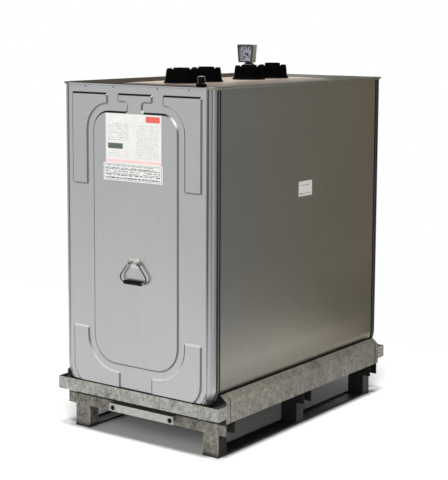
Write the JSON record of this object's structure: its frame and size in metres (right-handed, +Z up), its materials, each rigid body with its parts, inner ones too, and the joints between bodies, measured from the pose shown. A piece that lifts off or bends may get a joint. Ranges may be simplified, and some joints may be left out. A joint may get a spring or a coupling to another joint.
{
  "type": "double-walled storage tank on a steel pallet",
  "caption": "Upright double-walled storage tank: plastic inner tank in an open-topped sheet steel jacket on a galvanised fork pallet, with screw caps, level gauge and drop handles.",
  "frame": {"origin": "bottom centre: on the ground under the middle of the tank", "axes": "+Z up, -Y out of the front panel (the end with the labels, the gauge's dial and the leak indicator), +X to the right seen from the front"},
  "size_m": [0.836, 1.3336, 1.603],
  "materials": {
    "coated_steel": "satin grey coated steel sheet",
    "wall_steel": "satin grey coated steel sheet",
    "cream_plastic": "blow-moulded cream polyethylene",
    "black_plastic": "moulded black plastic",
    "gauge_grey": "moulded beige-grey plastic",
    "dial_white": "printed pale dial",
    "clear_plastic": "clear plastic",
    "bright_zinc": "bright zinc plated steel",
    "dip_zinc": "weathered hot-dip galvanised steel"
  },
  "bodies": {
    "tank": {"front_panel": "coated_steel", "back_panel": "coated_steel", "front_seam": "coated_steel", "back_seam": "coated_steel", "left_wall": "wall_steel", "right_wall": "wall_steel", "bottom_sheet": "wall_steel", "left_rim": "wall_steel", "right_rim": "wall_steel", "inner_tank_body": "cream_plastic", "inner_tank_top": "cream_plastic", "cap_1": "black_plastic", "cap_2": "black_plastic", "cap_3": "black_plastic", "cap_4": "black_plastic", "leak_indicator_base": "black_plastic", "gauge_stem": "gauge_grey", "gauge_housing": "gauge_grey", "gauge_dial": "dial_white", "gauge_window": "clear_plastic", "leak_indicator_dome": "clear_plastic", "front_handle_bracket": "bright_zinc", "back_handle_bracket": "bright_zinc", "tie_plate": "bright_zinc", "front_rail": "dip_zinc", "back_rail": "dip_zinc", "left_rail": "dip_zinc", "right_rail": "dip_zinc", "front_cross_member": "dip_zinc", "middle_cross_member": "dip_zinc", "back_cross_member": "dip_zinc", "left_runner": "dip_zinc", "right_runner": "dip_zinc", "front_left_foot": "dip_zinc", "front_right_foot": "dip_zinc", "middle_left_foot": "dip_zinc", "middle_right_foot": "dip_zinc", "back_left_foot": "dip_zinc", "back_right_foot": "dip_zinc"},
    "front_handle": {"front_handle_bail": "bright_zinc", "front_handle_grip": "black_plastic"},
    "back_handle": {"back_handle_bail": "bright_zinc", "back_handle_grip": "black_plastic"},
    "gauge_pointer": {"gauge_needle": "black_plastic"}
  },
  "joints": [
    {"name": "front_handle_swing", "type": "hinge", "parent": "tank", "child": "front_handle", "pos_m": [0, -0.6583, 0.745], "axis": [-1, 0, 0], "range_deg": [0, 170]},
    {"name": "back_handle_swing", "type": "hinge", "parent": "tank", "child": "back_handle", "pos_m": [0, 0.6583, 0.745], "axis": [1, 0, 0], "range_deg": [0, 170]},
    {"name": "gauge_pointer_turn", "type": "hinge", "parent": "tank", "child": "gauge_pointer", "pos_m": [0, 0.125, 1.561], "axis": [0, 1, 0], "range_deg": [-265, 5]}
  ]
}
